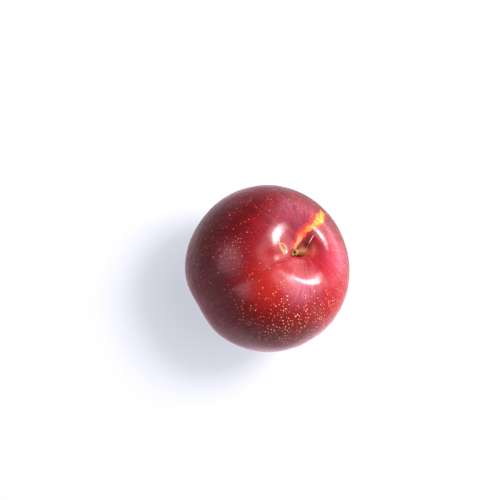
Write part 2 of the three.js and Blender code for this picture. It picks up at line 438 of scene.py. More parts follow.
def skin_marks(origin):
    """The places on the skin of everything that a pixel of the photograph puts there."""
    pixels = {
        "stripe": STRIPE_PIXELS, "russet": [RUSSET_PIXEL], "scratch": SCRATCH_PIXELS, "nick": NICK_PIXELS,
        "lit": [LIT_PIXEL], "pale": [PAINTED_LIGHT_PIXEL], "thick": [THICK_PIXEL],
        "powder": [pixel for pixel, _, _ in POWDER_AND_SHEEN], "rubbed": [pixel for pixel, _, _ in RUBBED],
        "polished": [pixel for pixel, _ in POLISHED],
    }
    return {name: seen_on_skin(group, origin)[0] for name, group in pixels.items()}


# The skin

def skin_lift(body, angle, turn, origin, marks):
    """How far the relief stands out of the plain skin, in millimetres."""
    lift = sum(height * ripple(body, size, seed) for height, size, seed in BUMPS)
    pucker = sum(np.sin(count * turn + start) for count, start in PUCKERS)
    lift += PUCKER_HEIGHT * pucker * bell(body_profile(angle)[0] - PUCKER_RADIUS, PUCKER_REACH)
    russet = soft_spot(body, marks["russet"], RUSSET_REACH)
    lift += RUSSET_HEIGHT * russet * ripple(body, RUSSET_GRAIN, RUSSET_SEED)
    scratch, _ = path_distance(body, marks["scratch"], SCRATCH_HALF_WIDTHS)
    lip = SCRATCH_LIP_HEIGHT * bell(scratch - SCRATCH_LIP_PLACE, SCRATCH_LIP_WIDTH)
    lift += lip - SCRATCH_GROOVE_DEPTH * bell(scratch, SCRATCH_GROOVE_WIDTH)
    nick, _ = path_distance(body, marks["nick"], NICK_HALF_WIDTHS)
    lift -= NICK_DEPTH * bell(nick, 1)
    for pixel, reach, depth in CREST_HOLLOWS:
        lift -= depth * soft_spot(body, seen_on_skin([pixel], origin)[0], reach)
    for pixels, half_widths, height in EDGES:
        away, _ = path_distance(body, seen_on_skin(pixels, origin)[0], half_widths)
        lift += height * bell(away, 1)
    return lift


def make_skin():
    """The fruit's whole surface as one closed mesh, with what its material needs to know at each point."""
    foot_angle = spot_angle()
    foot_height = float(body_profile(np.array(foot_angle))[1])
    share = np.arange(1, SKIN_RINGS + 1) / SKIN_RINGS
    angles = foot_angle * share * (1 - RING_GATHER * (1 - share))
    even = FULL_TURN * np.arange(MERIDIANS) / MERIDIANS
    turns = even - MERIDIAN_GATHER * np.sin(even)
    angle, turn = np.meshgrid(angles, turns, indexing="ij")
    body = skin_point(angle, turn)
    body[..., 2] = np.maximum(body[..., 2], foot_height)
    origin = fruit_origin(body)
    body = body + origin

    marks = skin_marks(origin)
    clear_of_foot = smoothstep(angle, foot_angle, foot_angle - FOOT_BLEND)
    outward = np.stack([np.sin(angle) * np.sin(turn), -np.sin(angle) * np.cos(turn), np.cos(angle)], -1)
    lift = skin_lift(body, angle, turn, origin, marks)
    body = body + outward * (lift * clear_of_foot)[..., None]

    foot_share = np.linspace(1, 0, FOOT_RINGS + 2)[1:-1]
    foot_radii = SPOT_RADIUS * foot_share
    rise = DIMPLE_DEPTH * bell(foot_radii, DIMPLE_RADIUS * DIMPLE_SPREAD)
    rise = np.where(foot_radii > DIMPLE_RADIUS, 0, rise)
    foot = np.stack([
        foot_radii[:, None] * np.sin(turns), -foot_radii[:, None] * np.cos(turns),
        (foot_height + rise)[:, None] + 0 * turns,
    ], -1) + origin
    top = pit_bottom() + origin
    bottom = np.array([0, 0, foot_height + DIMPLE_DEPTH]) + origin
    skin = closed_mesh("plum_skin", np.concatenate([body, foot]) * MM, top * MM, bottom * MM)

    points = np.concatenate([[top], body.reshape(-1, 3), foot.reshape(-1, 3), [bottom]])
    full_angle = np.concatenate([[0], angle.ravel(), np.full(foot.shape[0] * MERIDIANS + 1, foot_angle)])
    full_turn = np.concatenate([[0], turn.ravel(), np.tile(turns, foot.shape[0]), [0]])
    give(skin, "spin", np.stack([np.cos(full_turn), np.sin(full_turn), full_angle], -1), "FLOAT_VECTOR")
    paint_marks(skin, points, marks)
    paint_colours(skin, points, full_angle, full_turn, marks)
    paint_bloom_and_sheen(skin, points, full_angle, full_turn, marks)
    paint_dots(skin, points, full_angle, marks)
    return skin, origin


def paint_marks(skin, points, marks):
    """The stripe with its halo and russet, the scratch and the nick."""
    frayed = points + FRAY_WIDTH * np.stack([ripple(points, FRAY_SIZE, seed) for seed in FRAY_SEEDS], -1)
    stripe, stripe_along = path_distance(frayed, marks["stripe"], STRIPE_HALF_WIDTHS)
    halo_widths = np.array(STRIPE_HALF_WIDTHS) * HALO_WIDENING
    halo, _ = path_distance(frayed - HALO_SHIFT, marks["stripe"], halo_widths)
    give(skin, "stripe", 1 - smoothstep(stripe, *STRIPE_EDGE))
    give(skin, "stripe_along", stripe_along)
    give(skin, "halo", (1 - smoothstep(halo, *HALO_EDGE)) * smoothstep(stripe_along, *HALO_END))
    give(skin, "russet", soft_spot(frayed, marks["russet"], RUSSET_REACH))

    scratch, scratch_along = path_distance(frayed, marks["scratch"], SCRATCH_HALF_WIDTHS)
    give(skin, "scratch", 1 - smoothstep(scratch, *SCRATCH_EDGE))
    give(skin, "scratch_core", 1 - smoothstep(scratch, *SCRATCH_CORE_EDGE))
    give(skin, "scratch_along", scratch_along)
    nick, _ = path_distance(points, marks["nick"], NICK_HALF_WIDTHS)
    give(skin, "nick", 1 - smoothstep(nick, *NICK_EDGE))


def paint_colours(skin, points, angle, turn, marks):
    """The redder front, the brighter side and the dark sides, which are partly painted light and shade, the
    painted shade in the suture's crease, the painted light on the dark cheek and the painted light in the
    pit.
    """
    profile = body_profile(angle)[0]
    # painted shade along the suture's crease
    line = bell(off_suture(profile, turn), DARK_LINE_WIDTH)
    line = line * smoothstep(np.cos(turn), *DARK_LINE_TURNS) * smoothstep(profile, *DARK_LINE_RADII)
    give(skin, "crease", line)
    wander = ZONE_WANDER * ripple(points, ZONE_WANDER_SIZE, ZONE_WANDER_SEED)
    give(skin, "orange", soft_spot(points, *RED_FRONT) * (1 + RED_WANDER * wander))
    # the brighter side, partly painted light, and the dark sides, partly painted shade
    redder_lit_side = soft_spot(points, *REDDER_LIT_SIDE)
    give(skin, "redder_lit_side", redder_lit_side)
    dark = smoothstep(angle + DARK_WANDER * wander, *DARK_ANGLES) * (1 - REDDER_LIT_SIDE_SPARES * redder_lit_side)
    # a painted pool of light on the dark cheek
    give(skin, "dark", dark * (1 - LIT_SHARE * soft_spot(points, marks["lit"], LIT_REACH)))
    # painted light in the pit: a rose tint under it and a pale patch where the stub's shadow falls
    bottom = PAINTED_LIGHT_UNDER_PIT_SHARE * soft_spot(points, PAINTED_LIGHT_UNDER_PIT, PAINTED_LIGHT_UNDER_PIT_REACH)
    give(skin, "pit", bottom + PAINTED_LIGHT_SHARE * soft_spot(points, marks["pale"], PAINTED_LIGHT_REACH))


def paint_bloom_and_sheen(skin, points, angle, turn, marks):
    """The dust of the bloom, with painted sheen and painted reflections laid on as more of its dust, and how
    dull or polished the skin is under it.
    """
    radius = CHEEK_RADIUS * np.sin(angle)
    from_middle = np.abs(np.degrees(np.angle(np.exp(1j * (turn - SHADY_TURN)))))
    shady = smoothstep(radius, *SHADY_RADII) * bell(from_middle, SHADY_WIDTH)
    patches = np.tanh(ripple(points, DULL_PATCH_SIZE, DULL_PATCH_SEED))
    dull = DULLNESS + DULL_PATCHES * patches
    suture = bell(radius * np.sin(turn), SUTURE_DULL_WIDTH) * smoothstep(np.cos(turn), *DARK_LINE_TURNS)
    glossy = 1 - SUTURE_DULLNESS * suture * smoothstep(radius, *SUTURE_DULL_RADII)
    for place, (_, reach, amount) in zip(marks["rubbed"], RUBBED):
        glossy = glossy * (1 - amount * soft_spot(points, place, reach))
    bare = (1 - DULL_POWDER * dull) * (1 - SHADY_POWDER * shady)
    for place, (_, reach, amount) in zip(marks["powder"], POWDER_AND_SHEEN):
        bare = bare * (1 - amount * soft_spot(points, place, reach))
    polish = [soft_spot(points, place, reach) for place, (_, reach) in zip(marks["polished"], POLISHED)]
    # the bloom's dust, with painted sheen and painted reflections at some of its spots
    give(skin, "bloom", 1 - bare)
    give(skin, "dull", 1 - (1 - dull) * (1 - shady) * glossy)
    give(skin, "shady", shady)
    give(skin, "polished", sum(polish))


def paint_dots(skin, points, angle, marks):
    """How thick the lenticels stand and how large they are."""
    thick = soft_spot(points, marks["thick"], THICK_REACH)
    patches = DOT_PATCHES * ripple(points, DOT_PATCH_SIZE, DOT_PATCH_SEED)
    crowd = PLAIN_SHARE + THICK_SHARE * thick + patches
    crowd = np.maximum(crowd, LOW_SHARE * smoothstep(angle, *LOW_ANGLES))
    crowd = crowd * smoothstep(angle, *FIRST_DOT_ANGLES)
    on_foot = points[:, 2] < fruit_low[2] / MM + BARE_FOOT_HEIGHT
    give(skin, "dots", np.where(on_foot, 0, np.clip(crowd, 0, 1)))
    give(skin, "dot_size", PLAIN_DOT_SIZE + THICK_DOT_SIZE * thick)


# Material helpers: a tree's own nodes, joined by name or number of socket

# Between these lie most of a noise's values
NOISE_MIDDLE = (0.3, 0.7)


def add(tree, kind, inputs=None, **settings):
    made = tree.nodes.new(kind)
    for name, value in settings.items():
        setattr(made, name, value)
    for name, value in (inputs or {}).items():
        if isinstance(value, bpy.types.NodeSocket):
            tree.links.new(value, made.inputs[name])
        else:
            made.inputs[name].default_value = value
    return made


def maths(tree, operation, first, second, clamp=False):
    made = add(tree, "ShaderNodeMath", {0: first, 1: second}, operation=operation, use_clamp=clamp)
    return made.outputs[0]


def times(tree, first, second, clamp=False):
    return maths(tree, "MULTIPLY", first, second, clamp)


def plus(tree, first, second, clamp=False):
    return maths(tree, "ADD", first, second, clamp)


def vector_maths(tree, vector, operation, other, output):
    return add(tree, "ShaderNodeVectorMath", {0: vector, 1: other}, operation=operation).outputs[output]


def attribute(tree, name, output="Fac"):
    return add(tree, "ShaderNodeAttribute", attribute_name=name).outputs[output]


def object_place(tree):
    return add(tree, "ShaderNodeTexCoord").outputs["Object"]


def noise(tree, vector, scale, detail=2.0, roughness=0.5):
    inputs = {"Vector": vector, "Scale": scale, "Detail": detail, "Roughness": roughness}
    return add(tree, "ShaderNodeTexNoise", inputs).outputs["Fac"]


def span(tree, value, low, high, to_low=0.0, to_high=1.0):
    """Carries a value from one range to another, smoothly and clamped."""
    inputs = {"Value": value, "From Min": low, "From Max": high, "To Min": to_low, "To Max": to_high}
    return add(tree, "ShaderNodeMapRange", inputs, interpolation_type="SMOOTHSTEP").outputs["Result"]


def either_way(tree, value, amount):
    """Spreads a noise from minus to plus an amount."""
    return span(tree, value, *NOISE_MIDDLE, -amount, amount)


def mix(tree, share, first, second):
    made = add(tree, "ShaderNodeMix", {0: share}, data_type="RGBA")
    for socket, value in ((made.inputs[6], first), (made.inputs[7], second)):
        if isinstance(value, bpy.types.NodeSocket):
            tree.links.new(value, socket)
        else:
            socket.default_value = (*value, 1)
    return made.outputs[2]


def bump(tree, strength, distance, height):
    inputs = {"Strength": strength, "Distance": distance, "Height": height}
    return add(tree, "ShaderNodeBump", inputs).outputs[0]


def new_material(name):
    material = bpy.data.materials.new(name)
    material.use_nodes = True
    material.node_tree.nodes.clear()
    return material


def finish_material(material, values, colour, roughness, normal=None):
    tree = material.node_tree
    shader = add(tree, "ShaderNodeBsdfPrincipled", {**values, "Base Color": colour, "Roughness": roughness})
    if normal is not None:
        tree.links.new(normal, shader.inputs["Normal"])
    output = add(tree, "ShaderNodeOutputMaterial")
    tree.links.new(shader.outputs[0], output.inputs["Surface"])
    return material


# Colours, as the light's own shares of red, green and blue
RIPE_RED = (0.056, 0.0002, 0.0006)
# the brighter side's red is partly painted light, and the dark maroon partly painted shade
REDDER_LIT_SIDE_RED = (0.098, 0.0005, 0.001)
DARK_MAROON = (0.022, 0.00015, 0.0004)
ORANGE_RED = (0.118, 0.0046, 0.0025)
STRIPE_PEACH = (0.193, 0.0659, 0.0304)
STRIPE_SALMON = (0.193, 0.0228, 0.0071)
STRIPE_ORANGE = (0.137, 0.00507, 0.00152)
STRIPE_YELLOW = (0.152, 0.055, 0.003)
RUSSET_CREAM = (0.279, 0.183, 0.0609)
RUSSET_BROWN = (0.102, 0.0304, 0.00609)
SCRATCH_YELLOW = (0.137, 0.0456, 0.00507)
SCRATCH_BROWN = (0.0507, 0.0102, 0.00203)
SCRATCH_GREY = (0.056, 0.036, 0.027)
# the bloom's mauve, also laid on as painted sheen and painted reflections
BLOOM_AND_SHEEN_MAUVE = (0.13, 0.03, 0.05)
# painted light in the pit
PAINTED_LIGHT_ROSE = (0.253, 0.0456, 0.0304)
DOT_TAN = (0.15, 0.0499, 0.0146)
DOT_CREAM = (0.249, 0.116, 0.0416)
BARK_OLIVE = (0.062, 0.017, 0.0013)
BARK_BROWN = (0.033, 0.008, 0.0006)
BARK_CREAM = (0.0966, 0.0456, 0.0127)
WOOD_CREAM = (0.125, 0.06, 0.017)
PITH_BROWN = (0.052, 0.013, 0.0032)
FIBRE_CREAM = (0.213, 0.127, 0.0659)

# How strong the skin's paints are, at their most; the shady side's and the crease's are painted shade
SHADY_PAINTED_SHADE_DEPTH = 0.85
MOTTLE_DEPTH = 0.14
CLOUD_DEPTH = 0.16
CREASE_SHADE = 0.5
ORANGE_SHARE = 0.75
HALO_SHARE = 0.85
NICK_SHARE = 0.5
SPECK_SHARE = 0.5
BLOOM_AND_SHEEN_SHARE = 0.6
RAGGEDNESS = 0.22
DOT_BLUSH = 0.2

# Where each paint begins and where it is whole, on the value that it follows: along the stripe and in from
# its edge, in the cork's noise, in from the scratch's edge and along it
SALMON_ALONG = (0.12, 0.34)
YELLOW_ALONG = (0.36, 0.52)
ORANGE_EDGE = (0.12, 0.55)
PALE_EDGE = (0.4, 0.85)
RUSSET_EDGE = (0.2, 0.6)
CREAM_CORK = (0.5, 0.62)
BROWN_CORK = (0.44, 0.36)
YELLOW_SCRATCH = (0.25, 0.8)
BROWN_SCRATCH = (0.3, 0.8)
GREY_SCRATCH = (0.4, 0.9)
GREY_ALONG = (0.72, 0.92)

# The finest dots: cells in a metre, where a dot's edge lies in its cell, and the draw that a cell has to
# pass where the dots are fewest and thickest
SPECK_CELLS = 1150
SPECK_EDGE = (0.3, 0.14)
SPECK_DRAWS = (0.95, 0.45)

# The streaks, drawn out down the sides, and what they do to the bloom and to the coat
STREAK_STRETCH = (1, 1, 0.1)
FILM_STREAKS = (0.36, 0.64, 0.4, 1.2)
COAT_STREAKS = (0.35, 0.65, 0.75, 1.2)

# The skin's gloss: a clear waxy coat over a softer layer, with the thin bloom's sheen on top
SKIN_COAT = 0.45
COATLESS_DULLNESS = 0.9
POLISHED_COAT = 1.9
GLOSSY_ROUGHNESS = 0.29
DULL_ROUGHNESS = 0.85
STRIPE_DULLNESS = 0.7
RUSSET_ROUGHNESS = 0.2
DOT_ROUGHNESS = 0.45
SKIN_BUMP = (0.9, 0.15 * MM)
SKIN_GRAIN = 0.9
SKIN_GLOSS = {
    "IOR": 1.13, "Specular Tint": (1, 0.68, 0.85, 1), "Coat Roughness": 0.24, "Coat IOR": 1.36,
    "Sheen Weight": 0.08, "Sheen Roughness": 0.3, "Sheen Tint": (1, 0.7, 0.86, 1),
    "Subsurface Weight": 0.1, "Subsurface Scale": 0.0015, "Subsurface Radius": (1.0, 0.25, 0.15),
}


def streaks(tree, scale, detail, roughness):
    """Streaks in the skin that run from the pit over the shoulders."""
    stretched = vector_maths(tree, attribute(tree, "spin", "Vector"), "MULTIPLY", STREAK_STRETCH, 0)
    return noise(tree, stretched, scale, detail, roughness)


def ripe_colour(tree, place):
    """Red that darkens down the sides, partly as painted shade, mottled, clouded and streaked, with painted
    shade on the cavity's shady side and in the crease, a redder front and a pale pit that is painted light.
    """
    # the dark sides, partly painted shade, and the painted shade of the cavity's shady side
    depth = plus(tree, attribute(tree, "dark"), times(tree, attribute(tree, "shady"), SHADY_PAINTED_SHADE_DEPTH))
    mottle = noise(tree, place, scale=850, detail=3, roughness=0.6)
    cloud = noise(tree, place, scale=130, detail=3, roughness=0.55)
    depth = plus(tree, depth, either_way(tree, mottle, MOTTLE_DEPTH))
    for patches in (cloud, streaks(tree, scale=13, detail=2, roughness=0.5)):
        depth = plus(tree, depth, either_way(tree, patches, CLOUD_DEPTH), clamp=True)
    # painted shade in the suture's crease
    depth = plus(tree, depth, times(tree, attribute(tree, "crease"), CREASE_SHADE), clamp=True)
    # the brighter side, partly painted light, over the dark sides, partly painted shade
    colour = mix(tree, depth, mix(tree, attribute(tree, "redder_lit_side"), RIPE_RED, REDDER_LIT_SIDE_RED), DARK_MAROON)
    colour = mix(tree, times(tree, attribute(tree, "orange"), ORANGE_SHARE), colour, ORANGE_RED)
    # painted light in the pit
    return mix(tree, attribute(tree, "pit"), colour, PAINTED_LIGHT_ROSE)


def stripe_colour(tree, colour, ragged):
    """The stripe: peach at the pit, then salmon, then yellow, with ragged orange edges."""
    along = attribute(tree, "stripe_along")
    pale = mix(tree, span(tree, along, *SALMON_ALONG), STRIPE_PEACH, STRIPE_SALMON)
    pale = mix(tree, span(tree, along, *YELLOW_ALONG), pale, STRIPE_YELLOW)
    colour = mix(tree, times(tree, attribute(tree, "halo"), HALO_SHARE), colour, STRIPE_ORANGE)
    colour = mix(tree, span(tree, ragged, *ORANGE_EDGE), colour, STRIPE_ORANGE)
    return mix(tree, span(tree, ragged, *PALE_EDGE), colour, pale)


def russet_colour(tree, place, colour, russet):
    """Cream and brown flecks of cork."""
    cork = noise(tree, place, scale=700, detail=4, roughness=0.7)
    colour = mix(tree, times(tree, russet, span(tree, cork, *CREAM_CORK)), colour, RUSSET_CREAM)
    return mix(tree, times(tree, russet, span(tree, cork, *BROWN_CORK)), colour, RUSSET_BROWN)


def scratch_colour(tree, colour, scratch):
    """The healed scratch, yellow with a brown core and a grey foot, and the grey nick."""
    colour = mix(tree, span(tree, scratch, *YELLOW_SCRATCH), colour, SCRATCH_YELLOW)
    colour = mix(tree, span(tree, attribute(tree, "scratch_core"), *BROWN_SCRATCH), colour, SCRATCH_BROWN)
    foot = span(tree, attribute(tree, "scratch_along"), *GREY_ALONG)
    colour = mix(tree, times(tree, foot, span(tree, scratch, *GREY_SCRATCH)), colour, SCRATCH_GREY)
    return mix(tree, times(tree, attribute(tree, "nick"), NICK_SHARE), colour, SCRATCH_GREY)


def speck_colour(tree, place, colour):
    """The finest dots, which are only colour."""
    cells = add(tree, "ShaderNodeTexVoronoi", {"Vector": place, "Scale": SPECK_CELLS}, feature="F1")
    chosen = add(tree, "ShaderNodeSeparateColor", {0: cells.outputs["Color"]}).outputs[0]
    fewest = span(tree, attribute(tree, "dots"), 0.0, 1.0, *SPECK_DRAWS)
    speck = span(tree, cells.outputs["Distance"], *SPECK_EDGE)
    speck = times(tree, speck, maths(tree, "GREATER_THAN", chosen, fewest))
    return mix(tree, times(tree, speck, SPECK_SHARE), colour, DOT_TAN)


def skin_material():
    material = new_material("waxy_plum_skin")
    tree = material.node_tree
    place = object_place(tree)
    stripe = attribute(tree, "stripe")
    scratch = attribute(tree, "scratch")
    torn = noise(tree, place, scale=900, detail=3, roughness=0.6)
    ragged = plus(tree, stripe, either_way(tree, torn, RAGGEDNESS), clamp=True)
    russet = times(tree, attribute(tree, "russet"), span(tree, ragged, *RUSSET_EDGE))
    fine_streak = streaks(tree, scale=46, detail=4, roughness=0.65)

    colour = ripe_colour(tree, place)
    colour = stripe_colour(tree, colour, ragged)
    colour = russet_colour(tree, place, colour, russet)
    colour = scratch_colour(tree, colour, scratch)
    colour = speck_colour(tree, place, colour)

    # the bloom, a thin dusty film that is rubbed off in streaks, with painted sheen and painted reflections
    # in it
    bloom_and_sheen_film = times(tree, attribute(tree, "bloom"), span(tree, fine_streak, *FILM_STREAKS))
    clean = maths(tree, "SUBTRACT", 1.0, maths(tree, "MAXIMUM", stripe, scratch))
    bloom_and_sheen_film = times(tree, bloom_and_sheen_film, clean, clamp=True)
    colour = mix(tree, times(tree, bloom_and_sheen_film, BLOOM_AND_SHEEN_SHARE), colour, BLOOM_AND_SHEEN_MAUVE)

    # the wax, thinner on the stripe, where the skin is dull and in streaks, and thicker where it is polished
    dull = maths(tree, "MAXIMUM", times(tree, stripe, STRIPE_DULLNESS), attribute(tree, "dull"))
    coat = span(tree, dull, 0.0, COATLESS_DULLNESS, SKIN_COAT, 0.0)
    coat = times(tree, coat, span(tree, fine_streak, *COAT_STREAKS))
    coat = times(tree, coat, span(tree, attribute(tree, "polished"), 0, 1, 1, POLISHED_COAT))
    roughness = span(tree, dull, 0.0, 1.0, GLOSSY_ROUGHNESS, DULL_ROUGHNESS)
    roughness = plus(tree, roughness, times(tree, russet, RUSSET_ROUGHNESS), clamp=True)
    grain = noise(tree, place, scale=1900, detail=2, roughness=0.6)
    normal = bump(tree, *SKIN_BUMP, plus(tree, fine_streak, times(tree, grain, SKIN_GRAIN)))
    return finish_material(material, {**SKIN_GLOSS, "Coat Weight": coat}, colour, roughness, normal)


def dot_material():
    material = new_material("lenticel_cork")
    tree = material.node_tree
    colour = mix(tree, attribute(tree, "tone"), DOT_TAN, DOT_CREAM)
    blush = noise(tree, object_place(tree), scale=3000)
    colour = mix(tree, span(tree, blush, *NOISE_MIDDLE, 0, DOT_BLUSH), colour, ORANGE_RED)
    return finish_material(material, {**SKIN_GLOSS, "Coat Weight": SKIN_COAT}, colour, DOT_ROUGHNESS)


# Lenticels: the small pale corky dots, raised a little from the skin

DOT_SPACING = 0.86 * MM
DOT_DENSITY = 1.8e6
DOT_RADII = (0.13 * MM, 0.29 * MM)
DOT_RISE = 0.16
DOT_SIDES = 8
DOT_RINGS = 4
DOT_SEED = 5
TONE_SEED = 9


def dot_tree():
    """Geometry nodes that scatter domes on a skin by its dots attribute, with inputs for their sizes."""
    tree = bpy.data.node_groups.new("lenticels", "GeometryNodeTree")
    face = tree.interface
    face.new_socket("Skin", in_out="INPUT", socket_type="NodeSocketGeometry")
    for name, kind, value in (
        ("Spacing", "NodeSocketFloat", DOT_SPACING), ("Density", "NodeSocketFloat", DOT_DENSITY),
        ("Smallest Radius", "NodeSocketFloat", DOT_RADII[0]),
        ("Largest Radius", "NodeSocketFloat", DOT_RADII[1]),
        ("Rise", "NodeSocketFloat", DOT_RISE), ("Seed", "NodeSocketInt", DOT_SEED),
    ):
        face.new_socket(name, in_out="INPUT", socket_type=kind).default_value = value
    face.new_socket("Material", in_out="INPUT", socket_type="NodeSocketMaterial")
    face.new_socket("Dots", in_out="OUTPUT", socket_type="NodeSocketGeometry")

    given = add(tree, "NodeGroupInput").outputs
    crowd = add(tree, "GeometryNodeInputNamedAttribute", {"Name": "dots"}, data_type="FLOAT").outputs[0]
    scatter = add(tree, "GeometryNodeDistributePointsOnFaces", {
        "Mesh": given["Skin"], "Distance Min": given["Spacing"], "Density Max": given["Density"],
        "Density Factor": crowd, "Seed": given["Seed"],
    }, distribute_method="POISSON")
    dome_inputs = {"Segments": DOT_SIDES, "Rings": DOT_RINGS, "Radius": 1.0}
    dome = add(tree, "GeometryNodeMeshUVSphere", dome_inputs).outputs[0]
    # the random value's float inputs are its third and fourth, and its float output the second
    radius = add(tree, "FunctionNodeRandomValue", {
        2: given["Smallest Radius"], 3: given["Largest Radius"], "Seed": given["Seed"],
    }, data_type="FLOAT").outputs[1]
    size = add(tree, "GeometryNodeInputNamedAttribute", {"Name": "dot_size"}, data_type="FLOAT").outputs[0]
    width = times(tree, radius, size)
    height = times(tree, width, given["Rise"])
    scale = add(tree, "ShaderNodeCombineXYZ", {0: width, 1: width, 2: height}).outputs[0]
    placed = add(tree, "GeometryNodeInstanceOnPoints", {
        "Points": scatter.outputs["Points"], "Instance": dome, "Rotation": scatter.outputs["Rotation"],
        "Scale": scale,
    }).outputs[0]
    tone = add(tree, "FunctionNodeRandomValue", {"Seed": TONE_SEED}, data_type="FLOAT").outputs[1]
    named = add(tree, "GeometryNodeStoreNamedAttribute", {"Geometry": placed, "Name": "tone", "Value": tone},
                data_type="FLOAT", domain="INSTANCE").outputs[0]
    real = add(tree, "GeometryNodeRealizeInstances", {0: named}).outputs[0]
    finish = {"Geometry": real, "Material": given["Material"]}
    dressed = add(tree, "GeometryNodeSetMaterial", finish).outputs[0]
    tree.links.new(dressed, add(tree, "NodeGroupOutput").inputs["Dots"])
    return tree


def make_dots(skin):
    maker = add_object("lenticel_maker", skin.data.copy())
    modifier = maker.modifiers.new("lenticels", "NODES")
    modifier.node_group = dot_tree()
    for item in modifier.node_group.interface.items_tree:
        if item.in_out == "INPUT" and item.name == "Material":
            modifier[item.identifier] = dot_material()
    evaluated = maker.evaluated_get(bpy.context.evaluated_depsgraph_get())
    mesh = bpy.data.meshes.new_from_object(evaluated)
    maker.modifiers.clear()
    bpy.data.objects.remove(maker)
    mesh.name = "lenticels"
    mesh.shade_smooth()
    return add_object("lenticels", mesh)


# The stalk's broken base, a stub that leans over in the pit, in millimetres from the pit's bottom: its
# middle line, its radius on the way, the ridges and grain of its bark and the jags of its torn end

STUB_ROOT = (0.5, 0.3, -0.1)
STUB_BEND = (0.9, 0.8, 1.8)
STUB_END = (-0.9, -5.1, 2.5)
STUB_PROFILE = ((0.0, 0.35), (0.06, 0.6), (0.2, 1.0), (0.38, 1.4), (0.58, 1.62), (0.75, 1.5), (0.88, 1.2),
                (1.0, 1.1))
STUB_FLATNESS = 0.86
STUB_SLANT = 0.7
STUB_SIDES = 72
STUB_RINGS = 90
STUB_RIDGES = ((5, 0.2), (9, 1.3), (14, 3.1), (23, 0.8))
STUB_RIDGE_HEIGHT = 0.018
STUB_GRAIN_HEIGHT = 0.03
STUB_GRAIN_SIZE = 0.45
STUB_GRAIN_SEED = 41
STUB_JAGS = ((0.12, 7, 1.0), (0.09, 12, 2.3), (0.07, 19, 0.0))
STUB_TORN_PART = (0.75, 1.0)

# The broken face, from its rim inwards: a rim of bark, a lower ring of wood and the hollow that the pith
# left, as share of the radius and height over the end
BROKEN_FACE = ((0.93, 0.02), (0.84, -0.12), (0.7, -0.2), (0.56, -0.14), (0.46, -0.16), (0.36, -0.42),
               (0.2, -0.55))
FACE_WAVE_HEIGHT = 0.04
FACE_WAVES = 17
FACE_WAVE_TWIST = 9
PITH_DEPTH = 0.58

# The fibre torn from the stub's root: pixels along it, its height over the skin at each, its radius, and
# how it tapers, with lumps along it and blunt corners round it
FIBRE_PIXELS = ((306.6, 246.2), (307.4, 244.8), (309.3, 241.6), (311.4, 238.2), (313.5, 235))
FIBRE_LIFTS = (0.5, 0.35, 0.4, 0.3, 0.2)
FIBRE_RADIUS = 0.21
FIBRE_TAPER = 0.55
FIBRE_LUMPS = 0.12
FIBRE_LUMP_TURNS = 9
FIBRE_CORNERS = 3
FIBRE_CORNER_HEIGHT = 0.14
FIBRE_START = 1
FIBRE_FLATNESS = 0.7
FIBRE_RINGS = 40
FIBRE_SIDES = 14
FIBRE_SMOOTHINGS = 6

# The finish of the bark, with streaks, cream blotches and a cream collar at the break, of the broken face
# and of the fibre: where each colour begins and where it is whole, and how strong blotches and flecks are
BARK_GLOSS = {"IOR": 1.17}
BARK_ROUGHNESS = 0.5
BARK_BUMP = (0.6, 0.1 * MM)
BARK_STRETCH = (1, 1, 0.25)
BARK_STREAKS = (0.35, 0.65)
BARK_BLOTCHES = (0.55, 0.75, 0, 0.12)
COLLAR_ALONG = (0.92, 0.99)
WOOD_INWARD = (0.1, 0.25)
PITH_INWARD = (0.5, 0.66)
FIBRE_GLOSS = {"IOR": 1.45}
FIBRE_ROUGHNESS = 0.6
FIBRE_PALE_ALONG = (0.3, 0.5)
FIBRE_FLECKS = (0.5, 0.75, 0, 0.5)


def frames_along(points):
    """Tangent, side and rise at each point of a path, with the side kept level as the solid's is."""
    along = np.gradient(points, axis=0)
    along /= np.linalg.norm(along, axis=1)[:, None]
    side = np.array([1.0, 0, 0]) - along[:, :1] * along
    side /= np.linalg.norm(side, axis=1)[:, None]
    return along, side, np.cross(side, along)


def rings_along(path, side, rise, wide, turn, flatness):
    """Rings of points round a path, each as wide as asked and flattened the way it rises."""
    return (path[:, None] + side[:, None] * (wide * np.sin(turn))[..., None]
            + rise[:, None] * (wide * np.cos(turn) * flatness)[..., None])


